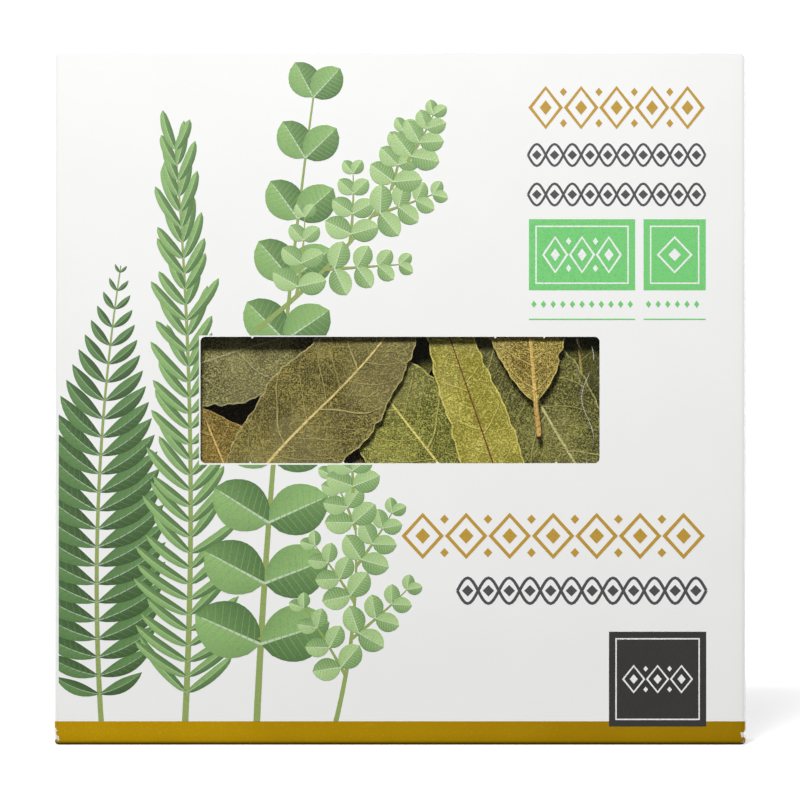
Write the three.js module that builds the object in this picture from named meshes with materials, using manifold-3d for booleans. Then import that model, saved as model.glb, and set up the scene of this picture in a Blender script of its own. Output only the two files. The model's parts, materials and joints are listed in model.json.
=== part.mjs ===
// A folding carton of dried bay leaves, standing upright.
// The board sleeve has a window with a clear film glued behind it, and a lid that tucks in at the top.
// Units are millimetres. X runs to the right across the front, Y from the front to the back, and Z up.
// The origin is at the middle of the bottom, and the front faces -Y.
import * as THREE from 'three';
import { mergeVertices } from 'three/addons/utils/BufferGeometryUtils.js';
import Module from 'manifold-3d';

const wasm = await Module();
wasm.setup();

// The carton
const WIDTH = 140;
const HEIGHT = 140;
const DEPTH = 20;
const BOARD = 0.5;
const GAP = 0.3;
const CORNER_RADIUS = 1.5;
const CORNER_SEGMENTS = 5;
const MERGE_DISTANCE = 1e-4;
const FRONT_FACE = -DEPTH / 2;
const BACK_FACE = DEPTH / 2;
const FRONT_INSIDE = FRONT_FACE + BOARD;
const BACK_INSIDE = BACK_FACE - BOARD;

// The boards at the top lie over each other: lid, then dust flaps, then the side panels
const LID_UNDERSIDE = HEIGHT - BOARD;
const FLAP_TOP = LID_UNDERSIDE - GAP;
const FLAP_UNDERSIDE = FLAP_TOP - BOARD;
const SIDE_TOP = FLAP_UNDERSIDE - GAP;

// The window and its film
const WINDOW_WIDTH = 80.8;
const WINDOW_HEIGHT = 25.6;
const WINDOW_BOTTOM = 57;
const WINDOW_RADIUS = 1;
const FILM_THICKNESS = 0.2;
const FILM_MARGIN = 8;
const GLUE_LINE = 0.1;

// The lid and its tuck tongue, which leans inwards so that it swings out past the front panel
const LID_SIDE_GAP = 0.5;
const LID_WIDTH = WIDTH - 2 * LID_SIDE_GAP;
const LID_FRONT_GAP = 0.4;
const LID_BACK_GAP = 0.1;
const TONGUE_INSET = 3;
const TONGUE_WIDTH = WIDTH - 2 * TONGUE_INSET;
const TONGUE_LENGTH = 10;
const TONGUE_LEAN = THREE.MathUtils.degToRad(15);
const TONGUE_RADIUS = 6;

// The dust flaps and the glue flap
const FLAP_LENGTH = 28;
const FLAP_FRONT = -7.4;
const FLAP_BACK = 8.9;
const FLAP_TAPER = 1.4;
const FLAP_RADIUS = 3;
const GLUE_FLAP_WIDTH = 12;
const GLUE_FLAP_INSET = 6;

// The leaves lie in layers from the window to the back, and all follow one gentle drift in depth.
// Those in the window lie close on each other and nearly flat, and those behind are looser and more curled.
const FRONT_LAYER = -8.35;
const LAYER_PITCH = 0.95;
const DRIFT = 0.3;
const DRIFT_WAVE_X = 22;
const DRIFT_WAVE_Z = 27;
const WINDOW_CURL = 0.1;
const BACK_CURL = 0.7;
const BLADE_THICKNESS = 0.6;
const RIB_THICKNESS = 0.8;
const STALK_WIDTH = 1.3;
const TIP_WIDTH = 0.8;
const BASE_POWER = 0.8;
const TIP_POWER = 0.85;
const MARGIN_WAVE = 0.035;
const MARGIN_WAVES = 4;
const RUFFLE = 0.05;
const BLADE_STATIONS = 10;
const BLADE_COLUMNS = [-1, -0.55, 0, 0.55, 1];

// The leaves that show in the window. The angle is the way the tip points, in degrees from +X towards +Z.
const WINDOW_LEAVES = [
  { name: 'leaf_a', x: -16.2, z: 68.1, angle: 49.5, length: 64, width: 22.2, stalk: 6, layer: 0, lean: 0.09 },
  { name: 'leaf_b', x: -35, z: 79.1, angle: 14, length: 57, width: 20, stalk: 3.5, layer: 3 },
  { name: 'leaf_c', x: -30.1, z: 38.8, angle: 109, length: 62, width: 31, stalk: 5, layer: 1 },
  { name: 'leaf_d', x: 10.5, z: 53.5, angle: 128, length: 75, width: 26, stalk: 6, layer: 2 },
  { name: 'leaf_e', x: 18, z: 59.5, angle: 109.3, length: 88, width: 12.4, stalk: 5, layer: 1 },
  { name: 'leaf_f', x: 20, z: 80, angle: 74, length: 66, width: 22, stalk: 6, layer: 5 },
  { name: 'leaf_g', x: 25, z: 93.2, angle: 96, length: 48, width: 18, stalk: 7.4, layer: 0 },
  { name: 'leaf_h', x: 29, z: 68, angle: -57, length: 75, width: 21, stalk: 6, layer: 3 },
  { name: 'leaf_i', x: 37, z: 74, angle: 100, length: 70, width: 25, stalk: 6, layer: 4 },
  { name: 'leaf_j', x: -14, z: 49.5, angle: 20, length: 70, width: 24, stalk: 6, layer: 4 },
];

// The leaves behind them, six to a layer: upright ones, lying ones, then upright ones again
const BACK_LAYERS = [
  { depth: -1, columns: [-45, 0, 45], rows: [35, 94], angle: 90 },
  { depth: 2.6, columns: [-34, 34], rows: [23, 62, 101], angle: 0 },
  { depth: 6.2, columns: [-44, 2, 46], rows: [36, 95], angle: 270 },
];
const BACK_LEAF_LENGTH = [49, 54];
const BACK_LEAF_WIDTH = [19, 25];
const BACK_LEAF_TURN = 9;
const BACK_LEAF_STALK = 4.5;
const LEAN = 0.12;
const SEED = 20;

const BOARD_WHITE = { color: 0xf4f4f2, roughness: 0.45, metalness: 0 };
const FILM_CLEAR = { color: 0xf8faf8, roughness: 0.1, metalness: 0, transparent: true, opacity: 0.15 };
const LEAF_FINISH = { roughness: 0.6, metalness: 0 };
const LEAF_GREENS = [0x7f7a44, 0x86824c, 0x8f7c41, 0x8a8a4a, 0x99954c, 0x5f6030, 0x8b7b40, 0x6c6c3a];

// A geometry as a solid that can be joined and cut
function toSolid(geometry) {
  const bare = geometry.index ? geometry.toNonIndexed() : geometry.clone();
  bare.deleteAttribute('normal');
  bare.deleteAttribute('uv');
  const merged = mergeVertices(bare, MERGE_DISTANCE);
  return new wasm.Manifold(new wasm.Mesh({
    numProp: 3,
    vertProperties: merged.attributes.position.array,
    triVerts: new Uint32Array(merged.index.array),
  }));
}

// A solid back as a geometry
function toGeometry(solid) {
  const mesh = solid.getMesh();
  const geometry = new THREE.BufferGeometry();
  geometry.setAttribute('position', new THREE.BufferAttribute(mesh.vertProperties, 3));
  geometry.setIndex(new THREE.BufferAttribute(mesh.triVerts, 1));
  return geometry;
}

// A flat sheet between two corners
function slab(low, high) {
  const [width, depth, height] = [0, 1, 2].map((axis) => high[axis] - low[axis]);
  const geometry = new THREE.BoxGeometry(width, depth, height);
  return geometry.translate(low[0] + width / 2, low[1] + depth / 2, low[2] + height / 2);
}

// A rectangle whose corners are rounded where their radius isn't 0: low left, low right, top right, top left
function roundedRectangle(path, x0, y0, x1, y1, [r0, r1, r2, r3]) {
  const quarter = Math.PI / 2;
  path.moveTo(x0 + r0, y0);
  path.lineTo(x1 - r1, y0);
  if (r1) path.absarc(x1 - r1, y0 + r1, r1, -quarter, 0);
  path.lineTo(x1, y1 - r2);
  if (r2) path.absarc(x1 - r2, y1 - r2, r2, 0, quarter);
  path.lineTo(x0 + r3, y1);
  if (r3) path.absarc(x0 + r3, y1 - r3, r3, quarter, 2 * quarter);
  path.lineTo(x0, y0 + r0);
  if (r0) path.absarc(x0 + r0, y0 + r0, r0, 2 * quarter, 3 * quarter);
  return path;
}

// An outline given in a panel's own plane, made as thick as the board
function sheet(shape) {
  return new THREE.ExtrudeGeometry(shape, {
    depth: BOARD,
    bevelEnabled: false,
    curveSegments: CORNER_SEGMENTS,
  });
}

// The front panel, drawn in X and Z, with rounded top corners and the window cut out
function frontPanel() {
  const shape = roundedRectangle(
    new THREE.Shape(), -WIDTH / 2, 0, WIDTH / 2, HEIGHT, [0, 0, CORNER_RADIUS, CORNER_RADIUS],
  );
  shape.holes.push(roundedRectangle(
    new THREE.Path(),
    -WINDOW_WIDTH / 2, WINDOW_BOTTOM, WINDOW_WIDTH / 2, WINDOW_BOTTOM + WINDOW_HEIGHT,
    new Array(4).fill(WINDOW_RADIUS),
  ));
  return sheet(shape).rotateX(Math.PI / 2).translate(0, FRONT_INSIDE, 0);
}

// The sleeve: one board folded round four sides and the bottom, glued by a flap inside the back
function cartonSleeve() {
  const half = WIDTH / 2;
  const panels = [
    slab([-half, BACK_INSIDE, 0], [half, BACK_FACE, FLAP_TOP]),
    slab([-half, FRONT_FACE, 0], [-half + BOARD, BACK_FACE, SIDE_TOP]),
    slab([half - BOARD, FRONT_FACE, 0], [half, BACK_FACE, SIDE_TOP]),
    slab([-half, FRONT_FACE, 0], [half, BACK_FACE, BOARD]),
    slab(
      [-half + BOARD / 2, BACK_INSIDE - BOARD, GLUE_FLAP_INSET],
      [-half + BOARD + GLUE_FLAP_WIDTH, BACK_INSIDE + BOARD / 2, SIDE_TOP - GLUE_FLAP_INSET],
    ),
  ];
  return toGeometry(panels.reduce((joined, panel) => joined.add(toSolid(panel)), toSolid(frontPanel())));
}

// The lid panel with its tuck tongue, creased along the front edge
function lid() {
  const front = FRONT_INSIDE + LID_FRONT_GAP;
  const panel = slab(
    [-LID_WIDTH / 2, front, LID_UNDERSIDE],
    [LID_WIDTH / 2, BACK_FACE - LID_BACK_GAP, HEIGHT],
  );
  const outline = roundedRectangle(
    new THREE.Shape(),
    -TONGUE_WIDTH / 2, -TONGUE_LENGTH, TONGUE_WIDTH / 2, 0,
    [TONGUE_RADIUS, TONGUE_RADIUS, 0, 0],
  );
  const tongue = sheet(outline)
    .rotateX(Math.PI / 2)
    .translate(0, BOARD, 0)
    .rotateX(TONGUE_LEAN)
    .translate(0, front, LID_UNDERSIDE + BOARD / 2);
  return toGeometry(toSolid(panel).add(toSolid(tongue)));
}

// A dust flap folded in under the lid from a side panel, tapered so that the tongue passes in front of it
function dustFlap(side) {
  const half = WIDTH / 2;
  const shape = new THREE.Shape();
  shape.moveTo(half, FLAP_FRONT);
  shape.lineTo(half, FLAP_BACK);
  shape.lineTo(half - FLAP_LENGTH + FLAP_RADIUS, FLAP_BACK - FLAP_TAPER);
  shape.quadraticCurveTo(
    half - FLAP_LENGTH, FLAP_BACK - FLAP_TAPER,
    half - FLAP_LENGTH, FLAP_BACK - FLAP_TAPER - FLAP_RADIUS,
  );
  shape.lineTo(half - FLAP_LENGTH, FLAP_FRONT + FLAP_TAPER + FLAP_RADIUS);
  shape.quadraticCurveTo(
    half - FLAP_LENGTH, FLAP_FRONT + FLAP_TAPER,
    half - FLAP_LENGTH + FLAP_RADIUS, FLAP_FRONT + FLAP_TAPER,
  );
  shape.lineTo(half, FLAP_FRONT);
  const flap = sheet(shape).translate(0, 0, FLAP_UNDERSIDE);
  return side > 0 ? flap : mirrored(flap);
}

// A geometry mirrored left to right, with its triangles turned to face out again
function mirrored(geometry) {
  const flipped = geometry.clone().scale(-1, 1, 1);
  const points = flipped.attributes.position;
  for (let i = 0; i < points.count; i += 3) {
    const swap = new THREE.Vector3().fromBufferAttribute(points, i);
    points.setXYZ(i, points.getX(i + 1), points.getY(i + 1), points.getZ(i + 1));
    points.setXYZ(i + 1, swap.x, swap.y, swap.z);
  }
  return flipped;
}

// The clear film, glued inside the front panel all round the window
function windowFilm() {
  const half = WINDOW_WIDTH / 2 + FILM_MARGIN;
  const front = FRONT_INSIDE + GLUE_LINE;
  return slab(
    [-half, front, WINDOW_BOTTOM - FILM_MARGIN],
    [half, front + FILM_THICKNESS, WINDOW_BOTTOM + WINDOW_HEIGHT + FILM_MARGIN],
  );
}

// Numbers from 0 to 1 in the same order every time
function seededNumbers(seed) {
  const multiplier = 16807;
  const modulus = 2 ** 31 - 1;
  let state = seed;
  return () => {
    state = (state * multiplier) % modulus;
    return state / modulus;
  };
}

// Every leaf with its place and its own form: arch across, bow along, twist, how far the rib sways from the
// middle, and the phase of the margin's waves
function allLeaves() {
  const next = seededNumbers(SEED);
  const between = ([low, high]) => low + (high - low) * next();
  const backLeaves = BACK_LAYERS.flatMap(({ depth, columns, rows, angle }) => (
    rows.flatMap((z) => columns.map((x) => ({
      x,
      z,
      angle: angle + between([-BACK_LEAF_TURN, BACK_LEAF_TURN]),
      length: between(BACK_LEAF_LENGTH),
      width: between(BACK_LEAF_WIDTH),
      stalk: BACK_LEAF_STALK,
      depth,
      curl: BACK_CURL,
    })))
  ));
  backLeaves.forEach((leaf, i) => {
    leaf.name = `leaf_back_${String(i + 1).padStart(2, '0')}`;
  });
  const windowLeaves = WINDOW_LEAVES.map((leaf) => ({
    ...leaf,
    depth: FRONT_LAYER + LAYER_PITCH * leaf.layer,
    curl: WINDOW_CURL,
  }));
  return [...windowLeaves, ...backLeaves].map((leaf) => ({
    lean: between([-LEAN, LEAN]),
    ...leaf,
    arch: between([-leaf.curl, leaf.curl]),
    bow: between([-leaf.curl, leaf.curl]) / 2,
    twist: between([-leaf.curl, leaf.curl]) / 2,
    phase: between([0, 2 * Math.PI]),
  }));
}

// How wide the blade is at s, from 0 at its base to 1 at its tip, as a share of its greatest width
function bladeProfile(s) {
  const widest = BASE_POWER / (BASE_POWER + TIP_POWER);
  const shape = (at) => at ** BASE_POWER * (1 - at) ** TIP_POWER;
  return shape(s) / shape(widest);
}

// Half the blade's width at s on the side of t, with the margin's waves
function halfWidth(leaf, s, t) {
  const wave = 1 + MARGIN_WAVE * Math.sin(2 * Math.PI * MARGIN_WAVES * s + leaf.phase + t);
  const narrowest = THREE.MathUtils.lerp(STALK_WIDTH, TIP_WIDTH, Math.max(s, 0)) / 2;
  if (s <= 0 || s >= 1) return narrowest;
  return Math.max(narrowest, leaf.width / 2 * bladeProfile(s) * wave);
}

// A point on the leaf's middle surface, at s along it and t across it from -1 to 1. Its stalk has s below 0.
function leafPoint(leaf, s, t) {
  const turn = THREE.MathUtils.degToRad(leaf.angle);
  const along = (s - 0.5) * leaf.length;
  const sway = s > 0 ? leaf.lean * Math.sin(2 * Math.PI * s) * (1 - t * t) : 0;
  const across = (t + sway) * halfWidth(leaf, s, t);
  const x = leaf.x + along * Math.cos(turn) - across * Math.sin(turn);
  const z = leaf.z + along * Math.sin(turn) + across * Math.cos(turn);
  const end = 2 * THREE.MathUtils.clamp(s, 0, 1) - 1;
  const spread = 1 - end * end;
  const drift = DRIFT * Math.sin(x / DRIFT_WAVE_X) * Math.cos(z / DRIFT_WAVE_Z);
  const ruffle = RUFFLE * t * Math.sin(2 * Math.PI * MARGIN_WAVES * s + leaf.phase) * spread;
  const curl = leaf.arch * (t * t - 0.5) * spread + leaf.bow * (end * end - 0.5) + leaf.twist * end * t;
  return new THREE.Vector3(x, leaf.depth + drift + curl + ruffle, z);
}

// A whole leaf, blade and stalk as one closed body, with its rib thicker than its blade
function leafGeometry(leaf) {
  const blade = Array.from(
    { length: BLADE_STATIONS },
    (_, i) => (1 - Math.cos(Math.PI * i / (BLADE_STATIONS - 1))) / 2,
  );
  const stalk = leaf.stalk / leaf.length;
  const stations = [-stalk, -stalk / 2, ...blade];
  const columns = BLADE_COLUMNS.length;
  const positions = [];
  const faces = [];
  [-1, 1].forEach((side) => stations.forEach((s) => BLADE_COLUMNS.forEach((t) => {
    const rib = s <= 0 ? 1 : (1 - Math.abs(t)) ** 2 * (1 - s);
    const thickness = THREE.MathUtils.lerp(BLADE_THICKNESS, RIB_THICKNESS, rib);
    const point = leafPoint(leaf, s, t);
    positions.push(point.x, point.y + side * thickness / 2, point.z);
  })));
  const front = (i, j) => i * columns + j;
  const back = (i, j) => (stations.length + i) * columns + j;
  const quad = (a, b, c, d) => faces.push(a, b, c, a, c, d);
  for (let i = 0; i + 1 < stations.length; i += 1) {
    for (let j = 0; j + 1 < columns; j += 1) {
      quad(front(i, j), front(i + 1, j), front(i + 1, j + 1), front(i, j + 1));
      faces.push(back(i, j), back(i + 1, j + 1), back(i + 1, j));
      faces.push(back(i, j), back(i, j + 1), back(i + 1, j + 1));
    }
    quad(front(i, 0), back(i, 0), back(i + 1, 0), front(i + 1, 0));
    quad(front(i, columns - 1), front(i + 1, columns - 1), back(i + 1, columns - 1), back(i, columns - 1));
  }
  const last = stations.length - 1;
  for (let j = 0; j + 1 < columns; j += 1) {
    quad(front(0, j), front(0, j + 1), back(0, j + 1), back(0, j));
    quad(front(last, j), back(last, j), back(last, j + 1), front(last, j + 1));
  }
  const geometry = new THREE.BufferGeometry();
  geometry.setAttribute('position', new THREE.Float32BufferAttribute(positions, 3));
  geometry.setIndex(faces);
  return geometry;
}

// A named piece with its own material
function piece(name, geometry, finish) {
  geometry.computeVertexNormals();
  const mesh = new THREE.Mesh(geometry, new THREE.MeshStandardMaterial(finish));
  mesh.name = name;
  return mesh;
}

const carton = new THREE.Group();
carton.add(piece('carton_sleeve', cartonSleeve(), BOARD_WHITE));
carton.add(piece('lid', lid(), BOARD_WHITE));
carton.add(piece('dust_flap_right', dustFlap(1), BOARD_WHITE));
carton.add(piece('dust_flap_left', dustFlap(-1), BOARD_WHITE));
carton.add(piece('window_film', windowFilm(), FILM_CLEAR));

const leaves = new THREE.Group();
allLeaves().forEach((leaf, i) => {
  const color = LEAF_GREENS[i % LEAF_GREENS.length];
  leaves.add(piece(leaf.name, leafGeometry(leaf), { ...LEAF_FINISH, color }));
});

const boxOfBayLeaves = new THREE.Group();
boxOfBayLeaves.add(carton, leaves);

export default boxOfBayLeaves;
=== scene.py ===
"""Looks of a white folding carton of dried bay leaves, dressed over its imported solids."""
import json
import math

import bmesh
import bpy
import numpy as np
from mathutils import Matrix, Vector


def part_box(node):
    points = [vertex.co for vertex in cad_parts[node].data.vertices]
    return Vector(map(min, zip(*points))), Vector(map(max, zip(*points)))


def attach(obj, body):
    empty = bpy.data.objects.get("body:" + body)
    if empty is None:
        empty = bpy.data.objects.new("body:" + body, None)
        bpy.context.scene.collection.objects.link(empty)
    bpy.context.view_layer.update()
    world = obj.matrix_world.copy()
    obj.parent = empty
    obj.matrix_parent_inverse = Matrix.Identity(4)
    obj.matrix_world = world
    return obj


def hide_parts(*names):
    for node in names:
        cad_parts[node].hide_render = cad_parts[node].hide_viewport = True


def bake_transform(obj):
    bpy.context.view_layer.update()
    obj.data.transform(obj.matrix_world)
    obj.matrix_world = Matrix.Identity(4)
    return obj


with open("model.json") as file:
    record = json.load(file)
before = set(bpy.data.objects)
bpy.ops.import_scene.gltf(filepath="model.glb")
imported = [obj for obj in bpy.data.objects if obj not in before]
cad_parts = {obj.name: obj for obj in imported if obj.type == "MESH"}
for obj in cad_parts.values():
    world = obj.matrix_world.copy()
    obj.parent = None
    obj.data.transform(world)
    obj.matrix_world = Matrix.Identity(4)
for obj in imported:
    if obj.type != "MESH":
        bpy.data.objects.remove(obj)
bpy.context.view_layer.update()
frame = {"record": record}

# Lengths are in millimetres in the frame of the solids: X to the right, Y to the back, Z up
MM = 0.001
HALF_WIDTH, HALF_DEPTH, HEIGHT = np.round(np.array(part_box("carton_sleeve")[1]) / MM, 3)
FILM_LOW, FILM_HIGH = (np.round(np.array(corner) / MM, 3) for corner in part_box("window_film"))

# The board, its folds, the gap between boards that lie on each other, and the sleeve's mesh and materials
BOARD = 0.5
GAP = 0.3
FOLD = 0.9
FOLD_STEPS = 6
CORNER_RADIUS = 1.5
BACK_TOP = HEIGHT - BOARD - GAP
SIDE_TOP = BACK_TOP - BOARD - GAP
CELL = 2.0
TOP_ROW = 1.0
PANEL_FACING = 0.9
SEAM = 0.002
SHARP_ANGLE = 35
OUTSIDE, GOLD, INSIDE, CUT_EDGE = range(4)

# How the fill pushes the front panel out, and the back panel less, and how the board ripples
BULGE = 0.45
BULGE_RISE = 30
BULGE_FADE = 0.75
BACK_SHARE = 0.6
RIPPLE = 0.05
RIPPLE_WAVES = ((19, 31, 0.4), (37, 23, 2.1), (61, 53, 4.0))

# The gold band and the heights of the points in it
BAND_TOP = 4.75
BAND_ROWS = (FOLD, 2.2, 3.5, BAND_TOP)

# The window, its film and the small tags of board that the die left on its edge
FILM_MARGIN = 8
WINDOW_LOW = np.array([FILM_LOW[0], FILM_LOW[2]]) + FILM_MARGIN
WINDOW_HIGH = np.array([FILM_HIGH[0], FILM_HIGH[2]]) - FILM_MARGIN
WINDOW_RADIUS = 1.0
CUTTER_FRONT = -HALF_DEPTH - 3
CUTTER_BACK = -HALF_DEPTH + BOARD + 1
FILM_THICKNESS = 0.06
TAG_WIDTH = 0.55
TAG_HEIGHT = 0.34
TAG_SHAPE = ((-0.5, 0), (-0.2, 0.7), (0.15, 1), (0.5, 0))
TOP_TAGS = (-29.9, 19.3, 29.2)
BOTTOM_TAGS = (-30.3, -11.5, 7.5, 31.6)

# The lid with its tongue, the dust flaps and the glue flap, with the rows and columns of their meshes
LID_HALF_WIDTH = HALF_WIDTH - 0.5
LID_FRONT = -HALF_DEPTH + BOARD + 0.4
LID_MIDDLE = HEIGHT - BOARD / 2
LID_JOIN = 0.04
LID_SAG = 0.12
LID_SAG_EASE = 0.05
LID_ROWS = 14
LID_COLUMNS = 61
CREASE_RADIUS = 0.55
TONGUE_HALF_WIDTH = HALF_WIDTH - 3
TONGUE_LENGTH = 9.6
TONGUE_START = 0.6
TONGUE_LEAN = math.radians(15)
TONGUE_RADIUS = 6
TONGUE_ROWS = 22
FLAP_LENGTH = 28
FLAP_RUN = FLAP_LENGTH - 1
FLAP_FRONT = -7.4
FLAP_BACK = 8.9
FLAP_TAPER = 1.4
FLAP_RADIUS = 3
FLAP_MIDDLE = BACK_TOP - BOARD / 2
FLAP_JOIN = 0.03
FLAP_DROOP = 0.2
FLAP_ROWS = 30
FLAP_COLUMNS = 15
GLUE_FLAP_WIDTH = 12
GLUE_FLAP_INSET = 6
GLUE_FLAP_GAP = 0.1
GLUE_FLAP_ROWS = 60
GLUE_FLAP_COLUMNS = 9
GLUE_LINE = 0.025

# The camera: the carton's front fills this share of the square frame
FRONT_SHARE = 691.5 / 800
CAMERA_DISTANCE = 1200
CAMERA_HEIGHT = 69.8
SENSOR = 36

# The floor glows a little, more so away from the carton, so that only the shadow at its foot shows
SHADOW_REACH = 120
GLOW_REACH = 420
FLOOR_GAP = 0.05

# How far the floor runs, its sweep up behind and the lights, in metres
FLOOR_RUN = 5.0
FLOOR_SWEEP = ((2.0, 0), (2.3, 0.05), (2.5, 0.2), (2.6, 0.5), (2.6, 2.5))
LIGHT_TARGET = (0, 0, 0.07)
LIGHTS = [
    dict(name="key", place=(-0.11, -0.87, 0.60), size=0.22, power=11.2),
    dict(name="left_rear", place=(-1.2, 0.5, 0.28), size=0.7, power=14),
    dict(name="right_rear", place=(1.2, 0.5, 0.28), size=0.7, power=14),
]
SKY_STRENGTH = 0.08

# The leaves, laid as the solids lay them, with a slimmer stalk
FRONT_LAYER = -8.35
LAYER_PITCH = 0.95
DRIFT = 0.3
DRIFT_WAVE_X = 22
DRIFT_WAVE_Z = 27
WINDOW_CURL = 0.1
BACK_CURL = 0.7
STALK_WIDTH = 1.05
TIP_WIDTH = 0.8
BASE_POWER = 0.8
TIP_POWER = 0.85
MARGIN_WAVE = 0.035
MARGIN_WAVES = 4
RUFFLE = 0.05
WINDOW_LEAVES = [
    dict(name="leaf_a", x=-16.2, z=68.1, angle=49.5, length=64, width=22.2, stalk=6, layer=0, lean=0.09),
    dict(name="leaf_b", x=-35, z=79.1, angle=14, length=57, width=20, stalk=3.5, layer=3),
    dict(name="leaf_c", x=-30.1, z=38.8, angle=109, length=62, width=31, stalk=5, layer=1),
    dict(name="leaf_d", x=10.5, z=53.5, angle=128, length=75, width=26, stalk=6, layer=2),
    dict(name="leaf_e", x=18, z=59.5, angle=109.3, length=88, width=12.4, stalk=5, layer=1),
    dict(name="leaf_f", x=20, z=80, angle=74, length=66, width=22, stalk=6, layer=5),
    dict(name="leaf_g", x=25, z=93.2, angle=96, length=48, width=18, stalk=7.4, layer=0),
    dict(name="leaf_h", x=29, z=68, angle=-57, length=75, width=21, stalk=6, layer=3),
    dict(name="leaf_i", x=37, z=74, angle=100, length=70, width=25, stalk=6, layer=4),
    dict(name="leaf_j", x=-14, z=49.5, angle=20, length=70, width=24, stalk=6, layer=4),
]
BACK_LAYERS = [
    dict(depth=-1, columns=(-45, 0, 45), rows=(35, 94), angle=90),
    dict(depth=2.6, columns=(-34, 34), rows=(23, 62, 101), angle=0),
    dict(depth=6.2, columns=(-44, 2, 46), rows=(36, 95), angle=270),
]
BACK_LEAF_LENGTH = (49, 54)
BACK_LEAF_WIDTH = (19, 25)
BACK_LEAF_TURN = 9
BACK_LEAF_STALK = 4.5
LEAN = 0.12
SEED = 20

# What the dressed leaves have beyond the solids: thin blades, raised ribs and veins, nicks and fine waves
BLADE_THICKNESS = 0.36
RIM_THICKNESS = 0.2
STALK_THICKNESS = 0.95
STALK_RUN = 3
RIB_HEIGHT = 0.2
RIB_FALL = 0.8
RIB_WIDTH = 0.5
RIB_TAPER = 1.1
BACK_RELIEF = 0.5
VEIN_HEIGHT = 0.035
VEIN_WIDTH = 0.3
VEIN_FADE = 2
VEIN_SPACING = 7.0
OWN_SPACING = {"leaf_b": 5.5, "leaf_e": 6.2, "leaf_g": 3.4, "leaf_h": 6.0}
VEIN_SLOPE = 0.75
VEIN_NARROWING = 1 / math.hypot(1, VEIN_SLOPE)
VEIN_STAGGER = 0.45
VEIN_SWAY = 0.16
VEIN_WAVER = 0.03
FAR = 9.0
NICK_HEIGHT = 0.09
NICK_WAVES = ((7.3, 1), (4.1, 2.3), (2.3, 3.9))
CHIP_WAVE = 13.7
CHIP_SHARE = 0.9
CHIP_DEPTH = 4
RIM_LIFT = 0.12
WAVE = 0.05
WAVE_ACROSS = 0.8
WAVE_ALONG = 3.1
WINDOW_MESH = (130, 45)
BACK_MESH = (60, 21)
STALK_STATIONS = 8
COLUMN_POWER = 1.4
LEAF_SHARP_ANGLE = 60

# The colours of each leaf in screen levels: the pits of its net, its raised net, its veins and its rib
LEAF_TONES = {
    "leaf_a": ((62, 57, 10), (168, 155, 82), (206, 190, 124), (246, 220, 146)),
    "leaf_b": ((72, 68, 22), (178, 172, 108), (184, 179, 130), (190, 184, 138)),
    "leaf_c": ((74, 56, 2), (176, 152, 72), (206, 176, 104), (244, 206, 128)),
    "leaf_d": ((74, 78, 10), (186, 184, 90), (216, 208, 118), (244, 228, 130)),
    "leaf_e": ((134, 127, 26), (214, 204, 102), (238, 224, 122), (124, 72, 42)),
    "leaf_f": ((36, 38, 8), (112, 110, 54), (130, 126, 72), (136, 128, 70)),
    "leaf_g": ((94, 74, 10), (214, 194, 102), (226, 204, 118), (238, 200, 116)),
    "leaf_h": ((60, 60, 10), (166, 163, 86), (196, 188, 116), (220, 212, 146)),
    "leaf_i": ((40, 42, 2), (122, 120, 46), (156, 152, 80), (190, 170, 92)),
    "leaf_j": ((64, 62, 12), (160, 150, 78), (174, 166, 104), (206, 176, 98)),
}
RIB_SHOWN = {"leaf_a": 0.19, "leaf_b": 0.1, "leaf_e": 0.1}
USUAL_RIB_SHOWN = 0.24
SLOT_TONES = {"leaf_olive": "leaf_j", "leaf_golden": "leaf_g", "leaf_dark": "leaf_i"}


def srgb(*levels):
    """A colour given in screen levels from 0 to 255, as linear light."""
    shares = np.array(levels) / 255
    linear = np.where(shares <= 0.04045, shares / 12.92, ((shares + 0.055) / 1.055) ** 2.4)
    return (*linear.tolist(), 1.0)


# The print's colours, with a shaded and a lit tone for what grows, and how it lies on the board
DEEP_GREEN = (srgb(58, 88, 44), srgb(104, 146, 84))
MID_GREEN = (srgb(84, 120, 66), srgb(150, 190, 116))
PALE_GREEN = (srgb(116, 154, 92), srgb(186, 216, 150))
STEM_GREEN = srgb(146, 166, 92)
PRINT_GOLD = srgb(190, 150, 48)
PRINT_DARK = srgb(74, 73, 76)
PRINT_GREEN = srgb(116, 205, 117)
PRINT_CHARCOAL = srgb(50, 48, 47)
PRINT_WHITE = srgb(238, 239, 238)
INK_ROOT = 0.1
INK_LIFT = 0.02
SPRIG_LEVEL = 0.0002
ORNAMENT_LEVEL = 0.002
INK_EDGE = 0.3
PRINT_SEED = 7

# Separate herb sprigs in a row, each from its foot to its tip, bowed sideways, with leaves of this length
SPRIGS = [
    dict(kind="fern", foot=(-60.5, BAND_TOP), tip=(-56.5, 97), bow=-5, leaf=15, tones=DEEP_GREEN),
    dict(kind="needles", foot=(-43.5, BAND_TOP), tip=(-45.5, 121), bow=4, leaf=14, tones=MID_GREEN),
    dict(kind="rounds", foot=(-29, BAND_TOP), tip=(-17, 135), bow=-3, leaf=15.5, tones=MID_GREEN),
    dict(kind="twigs", foot=(-13, BAND_TOP), tip=(-9.5, 51), bow=4, leaf=6.2, tones=PALE_GREEN),
    dict(kind="twigs", foot=(-29, 84), tip=(1.5, 118), bow=6, leaf=6.2, tones=PALE_GREEN),
]

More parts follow.
